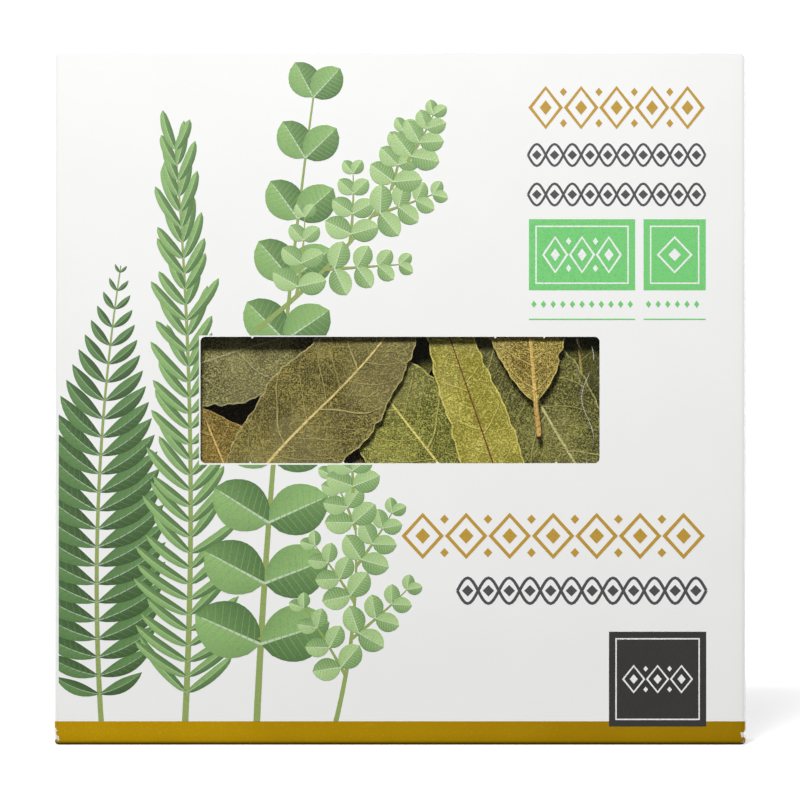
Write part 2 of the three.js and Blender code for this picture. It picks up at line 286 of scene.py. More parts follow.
# How each kind grows: its stem's width, its pairs of leaves, the span of stem that bears them, their angle
# to the stem at its foot, how far that closes by its tip, and their outline, slim or of a fixed width
FERN = dict(stem=1.1, pairs=24, span=(0.06, 0.985), angle=72, closing=30, bend=0.5, full=0.9, slim=0.27)
NEEDLES = dict(stem=1.3, pairs=36, span=(0.05, 0.995), angle=58, closing=34, bend=0.35, full=0.5, width=2)
ROUNDS = dict(stem=1.4, pairs=10, span=(0.12, 0.97), angle=74, closing=40, bend=0, full=0.6, slim=0.78)
TWIG = dict(ROUNDS, stem=0.7, pairs=4)
NEEDLE_TURN = 22
TWIGGY_STEM = 1.0
TWIGS = 6
TWIGS_START = 0.2
TWIG_ANGLE = math.radians(42)
TWIG_BOW = 0.6
STEM_STEPS = 40
STEM_TAPER = 0.75

# A printed leaf: its points along and across, and the widths of its veins
BLADE_STEPS = 11
BLADE_ACROSS = np.array([-1, -0.03, 0.03, 1])
BLADE_LEAST = 0.05
VEINED_WIDTH = 3
VEIN_STEPS = 4
PRINTED_VEIN = np.linspace(0.14, 0.06, VEIN_STEPS)
VEIN_REACH = 0.9

# The ornaments, each with its span from left to right and its heights or its middle: chains and lines at the
# top and lower down, two tiles with dots under them, and a charcoal square
TOP_CHAIN = dict(span=(25.9, 61.8), heights=(124.6, 133.4), count=5, line=0.8)
TOP_LINE = dict(span=(25.9, 61.8), swing=2.2, wave=7.18, line=0.5)
TOP_LINE_MIDDLES = (119.4, 111.4)
LOW_CHAIN = dict(span=(0.2, 61.8), heights=(37.6, 47.0), count=7, line=0.95)
LOW_LINE = dict(span=(11.6, 62.0), middle=31.2, swing=2.6, wave=8.4, line=0.6)
TILE_SPANS = ((26.1, 47.6), (49.3, 61.9))
TILE_HEIGHTS = (92.0, 106.4)
TILE_CHAIN = dict(heights=(95.4, 103.0), line=0.5)
TILE_LOZENGE = 5.4
TILE_RULE = 86.0
DOT_HEIGHT = 89.2
DOT_SIZE = (1.1, 1.5)
DOT_PITCH = 1.95
DOT_INSET = 1
SQUARE_SPAN = (42.3, 62.0)
SQUARE_HEIGHTS = (3.7, 22.9)
SQUARE_CHAIN = dict(heights=(10.4, 16.2), count=3, line=0.45)
KEYLINE = 0.28
KEYLINE_INSET = 1.3
RING_STEPS = 8
WAVE_STEPS = 16


class Value:
    """A socket in a material that can be reckoned with."""

    def __init__(self, graph, socket):
        self.graph = graph
        self.socket = socket

    def __add__(self, other):
        return self.graph.math("ADD", self, other)

    def __sub__(self, other):
        return self.graph.math("SUBTRACT", self, other)

    def __rsub__(self, other):
        return self.graph.math("SUBTRACT", other, self)

    def __mul__(self, other):
        return self.graph.math("MULTIPLY", self, other)

    def __abs__(self):
        return self.graph.math("ABSOLUTE", self)

    __radd__ = __add__
    __rmul__ = __mul__


class Graph:
    """The nodes of one material, with places on the object in millimetres."""

    def __init__(self, name):
        self.material = bpy.data.materials.new(name)
        self.material.use_nodes = True
        self.tree = self.material.node_tree
        self.shader = self.tree.nodes["Principled BSDF"]
        place = self.value("TexCoord", {}, "Object")
        self.place = self.value("VectorMath", {0: place, "Scale": 1 / MM}, operation="SCALE")

    def put(self, socket, value):
        if isinstance(value, Value):
            self.tree.links.new(value.socket, socket)
        else:
            socket.default_value = value

    def set(self, **inputs):
        for name, value in inputs.items():
            self.put(self.shader.inputs[name.replace("_", " ")], value)

    def node(self, kind, inputs, **settings):
        node = self.tree.nodes.new("ShaderNode" + kind)
        for name, setting in settings.items():
            setattr(node, name, setting)
        for key, value in inputs.items():
            self.put(node.inputs[key], value)
        return node

    def value(self, kind, inputs, output=0, **settings):
        """What a new node of the kind gives, with these inputs and settings."""
        return Value(self, self.node(kind, inputs, **settings).outputs[output])

    def math(self, operation, *terms):
        return self.value("Math", dict(enumerate(terms)), operation=operation)

    def ramp(self, value, low, high):
        """0 where the value is at low, 1 where it is at high, and smooth between them."""
        inputs = {"Value": value, "From Min": low, "From Max": high}
        return self.value("MapRange", inputs, interpolation_type="SMOOTHSTEP")

    def mix(self, share, first, second):
        return self.value("Mix", {0: share, 6: first, 7: second}, output=2, data_type="RGBA")

    def noise(self, grain, detail=2.0, stretch=(1, 1, 1)):
        """Soft noise whose patches are about grain millimetres across."""
        place = self.value("VectorMath", {0: self.place, 1: stretch}, operation="MULTIPLY")
        return self.value("TexNoise", {"Vector": place, "Scale": 1 / grain, "Detail": detail})

    def cells(self, grain):
        """How far a place is from the edges of cells grain millimetres across, as a share of their size."""
        inputs = {"Vector": self.place, "Scale": 1 / grain}
        return self.value("TexVoronoi", inputs, "Distance", feature="DISTANCE_TO_EDGE")

    def attribute(self, name, output):
        return self.value("Attribute", {}, output, attribute_name=name)

    def parts(self, value):
        return [Value(self, output) for output in self.node("SeparateXYZ", {0: value}).outputs]

    def bump(self, height, depth):
        self.set(Normal=self.value("Bump", {"Distance": depth * MM, "Height": height}))


def board_material(name, colour, shade, roughness, fibre_depth):
    """Boxboard: a nearly even colour with faint clouds in it and a fine fibre in its surface."""
    graph = Graph(name)
    clouds = graph.noise(grain=14, detail=4)
    fibre = graph.noise(grain=0.35, detail=3, stretch=(1, 1, 0.35))
    dents = graph.noise(grain=3.5)
    graph.set(Base_Color=graph.mix(clouds * 0.6 + fibre * 0.4, shade, colour))
    graph.set(Roughness=roughness + (clouds - 0.5) * 0.12, Specular_IOR_Level=0.4)
    graph.bump(fibre + dents * 0.8, fibre_depth)
    return graph.material


def gold_material():
    """Gold ink: a warm metallic tone with bright flakes, worn to white board at the bottom corners, with
    painted shade that darkens it to the right and at the bottom fold.
    """
    graph = Graph("gold_ink")
    x, y, z = graph.parts(graph.place)
    flakes = graph.ramp(graph.noise(grain=0.22, detail=1), 0.6, 0.75)
    clouds = graph.noise(grain=18, detail=3)
    # Painted shade: the ink grows darker from left to right, as if the light fell off across the band
    painted_shade_to_right = graph.ramp(x, -HALF_WIDTH, HALF_WIDTH)
    # Painted shade: the ink darkens at the bottom fold, where the crease turns into shade
    foot = graph.ramp(z + graph.noise(grain=0.5) * 0.4, 1.0, 0.3)
    ink = graph.mix(clouds, srgb(176, 136, 0), srgb(198, 158, 2))
    ink = graph.mix(flakes * 0.3, ink, srgb(228, 194, 60))
    # Mixes in the painted shade towards the right
    ink = graph.mix(painted_shade_to_right * 0.5, ink, srgb(132, 98, 2))
    # Mixes in the painted fold shade at the foot of the band
    ink = graph.mix(foot * 0.6, ink, srgb(82, 58, 6))
    from_corner = HALF_WIDTH + HALF_DEPTH - abs(x) - abs(y)
    chips = graph.noise(grain=0.9, detail=3) * 1.8 - 0.46
    worn = graph.ramp(chips - from_corner * 0.45 - abs(z - 1.7) * 0.25, -0.04, 0.04)
    graph.set(Base_Color=graph.mix(worn, ink, srgb(238, 238, 234)), Metallic=0.25)
    graph.set(Roughness=0.42 + graph.noise(grain=0.4) * 0.12, Specular_IOR_Level=0.08)
    graph.bump(flakes, 0.01)
    return graph.material


def ink_material():
    """Printing ink in the colours that its shapes carry, with the fine grain of the print."""
    graph = Graph("printed_ink")
    colour = graph.attribute("ink", "Color")
    grain = graph.noise(grain=0.3)
    darker = graph.value("HueSaturation", {"Value": 0.78, "Color": colour})
    speckled = graph.mix(graph.ramp(grain, 0.45, 0.75), colour, darker)
    graph.set(Base_Color=speckled, Roughness=0.4 + graph.noise(grain=6) * 0.1, Specular_IOR_Level=0.4)
    graph.bump(grain, 0.004)
    return graph.material


def film_material():
    """Clear film: it mirrors a little, more at a slant, with a few fine scratches and a hair-thin thread."""
    graph = Graph("clear_film")
    fresnel = graph.value("Fresnel", {"IOR": 1.45})
    x, _, z = graph.parts(graph.place)
    bend = graph.noise(grain=9, detail=1) * 5
    scratch = graph.ramp(abs(graph.math("SINE", x * 0.43 + z * 0.05 + bend)), 0.012, 0.0)
    patch = graph.ramp(graph.noise(grain=11, detail=1, stretch=(1, 1, 0.5)), 0.6, 0.68)
    to_thread = abs(x - WINDOW_HIGH[0] + 2.4 + graph.math("SINE", z * 0.38) * 1.2)
    thread = graph.ramp(to_thread, 0.11, 0.02) * graph.ramp(graph.noise(grain=5, detail=1), 0.4, 0.52)
    scratch = graph.math("MAXIMUM", scratch * patch, thread)
    graph.set(Alpha=fresnel * 0.8 + scratch * 0.3)
    graph.set(Base_Color=graph.mix(patch, srgb(250, 252, 250), srgb(240, 244, 242)), Metallic=1.0)
    graph.set(Roughness=0.04 + scratch * 0.5)
    graph.bump(graph.noise(grain=16, detail=1), 0.12)
    return graph.material


def leaf_material(name, tones, rib_shown):
    """A dried leaf: a fine raised net over darker pits, side veins, rib, pale margin and tan stalk."""
    graph = Graph(name)
    pit, net, vein, rib = (srgb(*levels) for levels in tones)
    s, across, vein_place = graph.parts(graph.attribute("leaf_place", "Vector"))
    rim, stalk, spacing = graph.parts(graph.attribute("leaf_rim", "Vector"))
    clouds = graph.ramp(graph.noise(grain=9, detail=4), 0.32, 0.68)
    lattice = graph.ramp(abs(graph.noise(grain=0.44, detail=1) - 0.5), 0.12, 0.0)
    mesh = graph.ramp(graph.cells(grain=2.3), 0.05, 0.0)
    grain = graph.noise(grain=0.22)
    # Large grey patches, partly dry bloom on the leaf and partly painted sheen
    bloom_and_sheen = graph.ramp(graph.noise(grain=15), 0.47, 0.66)
    specks = graph.ramp(graph.noise(grain=1.6), 0.68, 0.76)

    def to_line(count):
        return abs(count - graph.math("ROUND", count)) * spacing * VEIN_NARROWING

    raised = graph.ramp(lattice * 0.6 + grain * 0.5 + clouds * 0.34, 0.36, 1.06)
    blade = graph.mix(raised, pit, net)
    # Mixes in the grey patches of dry bloom and painted sheen
    blade = graph.mix(bloom_and_sheen * 0.25, blade, srgb(174, 166, 112))
    blade = graph.mix(mesh * 0.3, blade, vein)
    blade = graph.mix(specks * 0.25, blade, srgb(92, 62, 26))
    main_veins = graph.ramp(to_line(vein_place), 0.18, 0.04) * graph.ramp(rim, 0.2, 1.8)
    small_veins = graph.ramp(to_line(vein_place + 0.5), 0.14, 0.02) * 0.45
    side_veins = graph.math("MAXIMUM", main_veins, small_veins)
    blade = graph.mix(side_veins * 0.8, blade, vein)
    blade = graph.mix(graph.ramp(rim + grain * 0.3, 0.55, 0.25) * 0.9, blade, vein)
    ribbed = graph.ramp(abs(across) - (RIB_TAPER - s) * rib_shown - grain * 0.1, 0.12, -0.02)
    blade = graph.mix(ribbed * graph.ramp(s, 0.99, 0.92), blade, rib)
    bark = graph.mix(graph.noise(grain=0.8, detail=3), srgb(206, 158, 86), rib)
    stem = graph.mix(graph.ramp(stalk, 0.9, 0.96), bark, srgb(60, 40, 26))
    graph.set(Base_Color=graph.mix(graph.ramp(stalk, -0.1, 0.1), blade, stem))
    graph.set(Roughness=0.48 + grain * 0.2, Specular_IOR_Level=0.3)
    graph.bump(lattice * 0.8 + mesh + side_veins * 1.5 + grain * 0.6, 0.13)
    return graph.material


def shade_edges(mesh, angle):
    """Smooth shading, but for edges sharper than the angle."""
    mesh.shade_smooth()
    mesh.set_sharp_from_angle(angle=math.radians(angle))


def mesh_piece(name, points, faces, materials, face_materials=None, attributes=None, sharp=SHARP_ANGLE):
    """A mesh object from points in millimetres, each with the vectors or colours that attributes give."""
    mesh = bpy.data.meshes.new(name)
    mesh.from_pydata((np.asarray(points, float) * MM).tolist(), [], [list(map(int, face)) for face in faces])
    for material in materials:
        mesh.materials.append(material)
    if face_materials is not None:
        mesh.polygons.foreach_set("material_index", np.asarray(face_materials, np.int32))
    for key, values in (attributes or {}).items():
        kind, field = ("FLOAT_COLOR", "color") if values.shape[1] == 4 else ("FLOAT_VECTOR", "vector")
        layer = mesh.attributes.new(key, kind, "POINT")
        layer.data.foreach_set(field, values.astype(np.float32).ravel())
    shade_edges(mesh, sharp)
    mesh.update()
    piece = bpy.data.objects.new(name, mesh)
    bpy.context.scene.collection.objects.link(piece)
    return piece


# The corners of a face in the order that turns it to the other side
TURNED = [0, 3, 2, 1]


def grid_faces(index):
    """The four-sided faces of a grid of point numbers."""
    corners = [index[:-1, :-1], index[:-1, 1:], index[1:, 1:], index[1:, :-1]]
    return np.stack(corners, -1).reshape(-1, 4)


def sheet_faces(rows, columns):
    """Faces of a closed sheet, and their sides. Its points are a grid on one side, then on the other."""
    near = np.arange(rows * columns).reshape(rows, columns)
    far = near + rows * columns
    walls = ((far[0], near[0]), (near[-1], far[-1]), (near[:, 0], far[:, 0]), (far[:, -1], near[:, -1]))
    parts = [
        grid_faces(near),
        grid_faces(far)[:, TURNED],
        np.concatenate([grid_faces(np.stack(wall)) for wall in walls]),
    ]
    sides = np.repeat([0, 1, 2], [len(part) for part in parts])
    return np.concatenate(parts), sides


def surface(x, y, z):
    """A grid of points from coordinates that are given for each row, each column or each point."""
    return np.stack(np.broadcast_arrays(x, y, z), -1)


def bent_board(name, middle, thickness, materials):
    """A sheet of the thickness about a grid of middle points: outside, inside and cut edge."""
    along_rows = np.gradient(middle, axis=0)
    along_columns = np.gradient(middle, axis=1)
    normals = np.cross(along_columns, along_rows)
    normals /= np.linalg.norm(normals, axis=-1, keepdims=True)
    points = np.concatenate([middle + normals * thickness / 2, middle - normals * thickness / 2])
    faces, sides = sheet_faces(*middle.shape[:2])
    return mesh_piece(name, points.reshape(-1, 3), faces, materials, sides)


def front_bulge(x, z):
    """How far the front panel stands out at a place, from the fill behind it and the ripple of the board."""
    rise = np.clip(z / BULGE_RISE, 0, 1)
    rise = rise * rise * (3 - 2 * rise)
    inside = np.clip(1 - (x / (HALF_WIDTH - FOLD)) ** 2, 0, 1)
    swell = BULGE * inside * (1 - BULGE_FADE * ((z - HEIGHT / 2) / (HEIGHT / 2)) ** 2)
    ripple = sum(
        np.sin(x / wave_x + phase) * np.sin(z / wave_z + phase) for wave_x, wave_z, phase in RIPPLE_WAVES
    )
    return rise * (swell + RIPPLE * ripple * inside)


def steps_between(low, high, size):
    return np.linspace(low, high, max(2, round((high - low) / size) + 1))


def arc(centre, radius, start, end):
    """Points on part of a circle, between two angles in degrees."""
    angles = np.radians(np.linspace(start, end, FOLD_STEPS + 1))
    return [(centre[0] + radius * math.cos(a), centre[1] + radius * math.sin(a)) for a in angles]


def rounding(past, radius):
    """How far a round corner falls back from a straight edge, at a place this far past the curve's start."""
    past = np.clip(past, 0, radius)
    return radius - np.sqrt(radius ** 2 - past ** 2)


def sleeve_path():
    """The sleeve's plan inside its folds, round from the front's left, and the way that each point faces."""
    reach_x = HALF_WIDTH - FOLD
    reach_y = HALF_DEPTH - FOLD
    columns = steps_between(-reach_x, reach_x, CELL)
    rows = steps_between(-reach_y, reach_y, CELL)

    def corner(x, y, start):
        return [(x, y, *way) for way in arc((0, 0), 1, start, start + 90)[1:-1]]

    plan = [
        *((x, -reach_y, 0, -1) for x in columns),
        *corner(reach_x, -reach_y, -90),
        *((reach_x, y, 1, 0) for y in rows),
        *corner(reach_x, reach_y, 0),
        *((x, reach_y, 0, 1) for x in columns[::-1]),
        *corner(-reach_x, reach_y, 90),
        *((-reach_x, y, -1, 0) for y in rows[::-1]),
        *corner(-reach_x, -reach_y, 180),
    ]
    return np.array(plan), columns, rows


def sleeve_top(x, facing_y):
    """How high the sleeve reaches: highest in front, with rounded corners, and lowest at the sides."""
    front = HEIGHT - rounding(np.abs(x) - (HALF_WIDTH - CORNER_RADIUS), CORNER_RADIUS)
    top = np.where(facing_y < -0.01, np.maximum(front, SIDE_TOP), SIDE_TOP)
    return np.where(facing_y > PANEL_FACING, BACK_TOP, top)


def carton_sleeve(materials):
    """The folded sleeve with its bottom, then the window cut through its front."""
    plan, columns, rows = sleeve_path()
    facing = np.column_stack([plan[:, 2:], np.zeros(len(plan))])
    centre = np.column_stack([plan[:, :2], np.full(len(plan), FOLD)])
    down = np.array([0, 0, -1])
    turns = np.radians(np.linspace(90, 0, FOLD_STEPS + 1)[:-1])
    heights = [*BAND_ROWS, *steps_between(BAND_TOP + CELL, SIDE_TOP - TOP_ROW, CELL)]
    heights.append(sleeve_top(plan[:, 0] + plan[:, 2] * FOLD, plan[:, 3]))
    skins = []
    for skin in (FOLD, FOLD - BOARD):
        rings = [centre + skin * (math.cos(turn) * facing + math.sin(turn) * down) for turn in turns]
        for height in heights:
            points = centre + skin * facing
            points[:, 2] = height
            x, _, z = points.T
            points[:, 1] -= np.where(plan[:, 3] < -PANEL_FACING, front_bulge(x, z), 0)
            points[:, 1] += np.where(plan[:, 3] > PANEL_FACING, BACK_SHARE * front_bulge(-x, z), 0)
            rings.append(points)
        skins.append(np.array(rings))
    levels, around = skins[0].shape[:2]
    outer = np.arange(levels * around).reshape(levels, around)
    outer = np.concatenate([outer, outer[:, :1]], axis=1)
    inner = outer + levels * around
    floor_x, floor_y = np.meshgrid(columns, rows, indexing="ij")
    floors = [surface(floor_x, floor_y, height) for height in (0, BOARD)]
    bottom = grid_faces(np.arange(floor_x.size).reshape(floor_x.shape) + 2 * levels * around)
    parts = [
        grid_faces(outer),
        grid_faces(inner)[:, TURNED],
        grid_faces(np.stack([outer[-1], inner[-1]])),
        bottom,
        bottom[:, ::-1] + floor_x.size,
    ]
    in_band = np.arange(levels - 1) < FOLD_STEPS + len(BAND_ROWS) - 1
    kinds = [np.repeat(np.where(in_band, GOLD, OUTSIDE), around)]
    kinds += [np.full(len(part), kind) for part, kind in zip(parts[1:], (INSIDE, CUT_EDGE, GOLD, INSIDE))]
    points = np.concatenate([grid.reshape(-1, 3) for grid in skins + floors])
    sleeve = mesh_piece("sleeve_board", points, np.concatenate(parts), materials, np.concatenate(kinds))
    close_seams(sleeve)
    cut_window(sleeve, materials[CUT_EDGE])
    return sleeve


def close_seams(piece):
    """Joins points that lie on each other."""
    shape = bmesh.new()
    shape.from_mesh(piece.data)
    bmesh.ops.remove_doubles(shape, verts=shape.verts[:], dist=SEAM * MM)
    bmesh.ops.dissolve_degenerate(shape, dist=SEAM / 2 * MM, edges=shape.edges[:])
    bmesh.ops.recalc_face_normals(shape, faces=shape.faces[:])
    shape.to_mesh(piece.data)
    shape.free()


def window_outline():
    """The window's edge, with round corners and the small tags of board left on its long sides."""
    left, low = WINDOW_LOW + WINDOW_RADIUS
    right, high = WINDOW_HIGH - WINDOW_RADIUS

    def corner(x, z, start):
        return arc((x, z), WINDOW_RADIUS, start, start + 90)

    def tags(places, z, way):
        return [
            (x + way * share * TAG_WIDTH, z + way * height * TAG_HEIGHT)
            for x in places for share, height in TAG_SHAPE
        ]

    return [
        *corner(left, low, 180),
        *tags(BOTTOM_TAGS, WINDOW_LOW[1], 1),
        *corner(right, low, 270),
        *corner(right, high, 0),
        *tags(TOP_TAGS[::-1], WINDOW_HIGH[1], -1),
        *corner(left, high, 90),
    ]


def cut_window(sleeve, edge_material):
    outline = window_outline()
    count = len(outline)
    points = [(x, y, z) for y in (CUTTER_FRONT, CUTTER_BACK) for x, z in outline]
    faces = [list(range(count)), list(range(2 * count - 1, count - 1, -1))]
    faces += [[(i + 1) % count, i, count + i, count + (i + 1) % count] for i in range(count)]
    cutter = mesh_piece("window_cutter", points, faces, [edge_material])
    cut = sleeve.modifiers.new("window", "BOOLEAN")
    cut.object = cutter
    cut.operation = "DIFFERENCE"
    cut.solver = "EXACT"
    cut.material_mode = "TRANSFER"
    bpy.context.view_layer.update()
    evaluated = sleeve.evaluated_get(bpy.context.evaluated_depsgraph_get())
    mesh = bpy.data.meshes.new_from_object(evaluated)
    sleeve.modifiers.clear()
    sleeve.data = mesh
    shade_edges(mesh, SHARP_ANGLE)
    bpy.data.objects.remove(cutter)


def carton_lid(materials):
    """The lid from its tuck tongue over the front crease to the crease at the back."""
    front = (LID_FRONT + BOARD / 2 + CREASE_RADIUS, LID_MIDDLE - CREASE_RADIUS)
    back = (HALF_DEPTH - BOARD / 2 - CREASE_RADIUS, LID_MIDDLE - CREASE_RADIUS)
    crease = arc(front, CREASE_RADIUS, 180 + math.degrees(TONGUE_LEAN), 90)
    y, z = crease[0]
    drops = np.linspace(TONGUE_LENGTH, TONGUE_START, TONGUE_ROWS)
    tongue = [(y + math.sin(TONGUE_LEAN) * drop, z - math.cos(TONGUE_LEAN) * drop) for drop in drops]
    panel = [(y, LID_MIDDLE) for y in np.linspace(front[0], back[0], LID_ROWS)[1:-1]]
    hinge = arc(back, CREASE_RADIUS, 90, 0) + [(HALF_DEPTH - BOARD / 2, BACK_TOP + LID_JOIN)]
    profile = np.array(tongue + crease + panel + hinge)
    half = np.full((len(profile), 1), LID_HALF_WIDTH)
    straight = TONGUE_LENGTH - TONGUE_RADIUS
    half[:TONGUE_ROWS, 0] = TONGUE_HALF_WIDTH - rounding(drops - straight, TONGUE_RADIUS)
    widening = np.linspace(TONGUE_HALF_WIDTH, LID_HALF_WIDTH, len(crease))
    half[TONGUE_ROWS:TONGUE_ROWS + len(crease), 0] = widening
    across = np.linspace(-1, 1, LID_COLUMNS)
    y, z = profile[:, :1], profile[:, 1:]
    on_top = np.clip((z - LID_MIDDLE + LID_SAG_EASE) / LID_SAG_EASE, 0, 1)
    sag = LID_SAG * on_top * (1 - across ** 2) * np.sin(np.linspace(0, math.pi, len(profile)))[:, None]
    return bent_board("lid_board", surface(half * across, y, z - sag), BOARD, materials)


def dust_flap(side, materials):
    """A dust flap, folded in from the top of a side panel, tapered and rounded at its free end."""
    edge = HALF_WIDTH - BOARD / 2
    inner = edge - CREASE_RADIUS
    fold = arc((inner, FLAP_MIDDLE - CREASE_RADIUS), CREASE_RADIUS, 0, 90)
    run = [(x, FLAP_MIDDLE) for x in np.linspace(inner, HALF_WIDTH - FLAP_LENGTH, FLAP_ROWS)[1:]]
    profile = np.array([(edge, SIDE_TOP + FLAP_JOIN)] + fold + run)
    x, z = profile[:, :1], profile[:, 1:]
    out = np.clip((inner - x) / FLAP_RUN, 0, 1)
    inset = FLAP_TAPER * out + rounding(HALF_WIDTH - x - (FLAP_LENGTH - FLAP_RADIUS), FLAP_RADIUS)
    low = FLAP_FRONT + inset
    high = FLAP_BACK - inset
    y = low + (high - low) * np.linspace(0, 1, FLAP_COLUMNS)[::side]
    name = "dust_flap_board_right" if side > 0 else "dust_flap_board_left"
    return bent_board(name, surface(side * x, y, z - FLAP_DROOP * out ** 2), BOARD, materials)


def glue_flap(materials):
    """The flap that is glued inside the back panel, along its left fold."""
    inside = -HALF_WIDTH + BOARD
    x = np.linspace(inside + GLUE_FLAP_GAP, inside + GLUE_FLAP_WIDTH, GLUE_FLAP_COLUMNS)
    y = HALF_DEPTH - 1.5 * BOARD - GLUE_LINE
    z = np.linspace(GLUE_FLAP_INSET, SIDE_TOP - GLUE_FLAP_INSET, GLUE_FLAP_ROWS)[:, None]
    return bent_board("glue_flap_board", surface(x, y, z), BOARD, [materials[1], materials[1], materials[2]])


def window_film(material):
    """The clear film behind the window, following the panel that it is glued to."""
    x = steps_between(FILM_LOW[0], FILM_HIGH[0], CELL)
    z = steps_between(FILM_LOW[2], FILM_HIGH[2], CELL)[:, None]
    y = FILM_LOW[1] + FILM_THICKNESS / 2 - front_bulge(x, z)
    return bent_board("film_sheet", surface(x, y, z), FILM_THICKNESS, [material])


def seeded_numbers(seed):
    """Numbers from 0 to 1 in the same order every time."""
    multiplier = 16807
    modulus = 2 ** 31 - 1
    state = seed
    while True:
        state = state * multiplier % modulus
        yield state / modulus


def all_leaves():
    """Every leaf with its place and its own form, drawn in the order that the solids draw them."""
    numbers = seeded_numbers(SEED)

    def between(low, high):
        return low + (high - low) * next(numbers)

    leaves = [
        dict(leaf, depth=FRONT_LAYER + LAYER_PITCH * leaf["layer"], curl=WINDOW_CURL)
        for leaf in WINDOW_LEAVES
    ]
    places = [(layer, x, z) for layer in BACK_LAYERS for z in layer["rows"] for x in layer["columns"]]
    for number, (layer, x, z) in enumerate(places, start=1):
        leaves.append(dict(
            name=f"leaf_back_{number:02d}",
            x=x,
            z=z,
            angle=layer["angle"] + between(-BACK_LEAF_TURN, BACK_LEAF_TURN),
            length=between(*BACK_LEAF_LENGTH),
            width=between(*BACK_LEAF_WIDTH),
            stalk=BACK_LEAF_STALK,
            depth=layer["depth"],
            curl=BACK_CURL,
        ))
    for leaf in leaves:
        lean = between(-LEAN, LEAN)
        leaf.setdefault("lean", lean)
        curl = leaf["curl"]
        leaf["arch"] = between(-curl, curl)
        leaf["bow"] = between(-curl, curl) / 2
        leaf["twist"] = between(-curl, curl) / 2
        leaf["phase"] = between(0, 2 * math.pi)
        leaf["spacing"] = OWN_SPACING.get(leaf["name"], VEIN_SPACING)
    return leaves


def blade_profile(s):
    """How wide a blade is at s, from 0 at its base to 1 at its tip, as a share of its greatest width."""
    widest = BASE_POWER / (BASE_POWER + TIP_POWER)

    def shape(at):
        return at ** BASE_POWER * (1 - at) ** TIP_POWER

    return shape(np.clip(s, 0, 1)) / shape(widest)


def half_width(leaf, s, t):
    """Half the blade's width at s on the side of t, with the margin's waves."""
    wave = 1 + MARGIN_WAVE * np.sin(2 * math.pi * MARGIN_WAVES * s + leaf["phase"] + t)
    narrowest = (STALK_WIDTH + (TIP_WIDTH - STALK_WIDTH) * np.clip(s, 0, 1)) / 2
    blade = np.maximum(narrowest, leaf["width"] / 2 * blade_profile(s) * wave)
    return np.where((s <= 0) | (s >= 1), narrowest, blade)


def leaf_middle(leaf, s, t):
    """Points on a leaf's middle surface at s along it and t across it, -1 to 1, and its half width there."""
    turn = math.radians(leaf["angle"])
    along = (s - 0.5) * leaf["length"]
    sway = np.where(s > 0, leaf["lean"] * np.sin(2 * math.pi * s) * (1 - t * t), 0)
    half = half_width(leaf, s, t)
    across = (t + sway) * half
    x = leaf["x"] + along * math.cos(turn) - across * math.sin(turn)
    z = leaf["z"] + along * math.sin(turn) + across * math.cos(turn)
    end = 2 * np.clip(s, 0, 1) - 1
    spread = 1 - end * end
    drift = DRIFT * np.sin(x / DRIFT_WAVE_X) * np.cos(z / DRIFT_WAVE_Z)
    ruffle = RUFFLE * t * np.sin(2 * math.pi * MARGIN_WAVES * s + leaf["phase"]) * spread
    curl = leaf["arch"] * (t * t - 0.5) * spread + leaf["bow"] * (end * end - 0.5) + leaf["twist"] * end * t
    return surface(x, leaf["depth"] + drift + curl + ruffle, z), half


def vein_count(leaf, s, t, half):
    """A count that is whole along each side vein. The veins leave the rib at a slant and bend to the tip."""
    away = np.abs(t) * half
    stagger = np.where(t < 0, VEIN_STAGGER, 0.0)
    bend = 0.8 + 0.3 * np.abs(t) + 1.6 * np.clip(np.abs(t) - 0.6, 0, 1) ** 2
    count = (s * leaf["length"] - away * bend * VEIN_SLOPE) / leaf["spacing"] + stagger
    sway = VEIN_SWAY * np.sin(count * 2.1 + leaf["phase"] * 3 + stagger * 4)
    return count + sway + VEIN_WAVER * np.sin(away * 0.8 + count * 1.7)


def margin_nicks(leaf, s, t):
    """How far the dried margin leaves its smooth line, in uneven small waves and a few chips."""
    turns = s * leaf["length"] * 2 * math.pi
    phase = leaf["phase"] + np.sign(t) * 1.7
    waves = sum(np.sin(turns / wave + phase * shift) for wave, shift in NICK_WAVES)
    chips = np.clip(np.sin(turns / CHIP_WAVE + phase * 5), CHIP_SHARE, 1) - CHIP_SHARE
    return np.where((s > 0) & (s < 1), NICK_HEIGHT * waves - CHIP_DEPTH * chips, 0) * np.clip(s * 8, 0, 1)


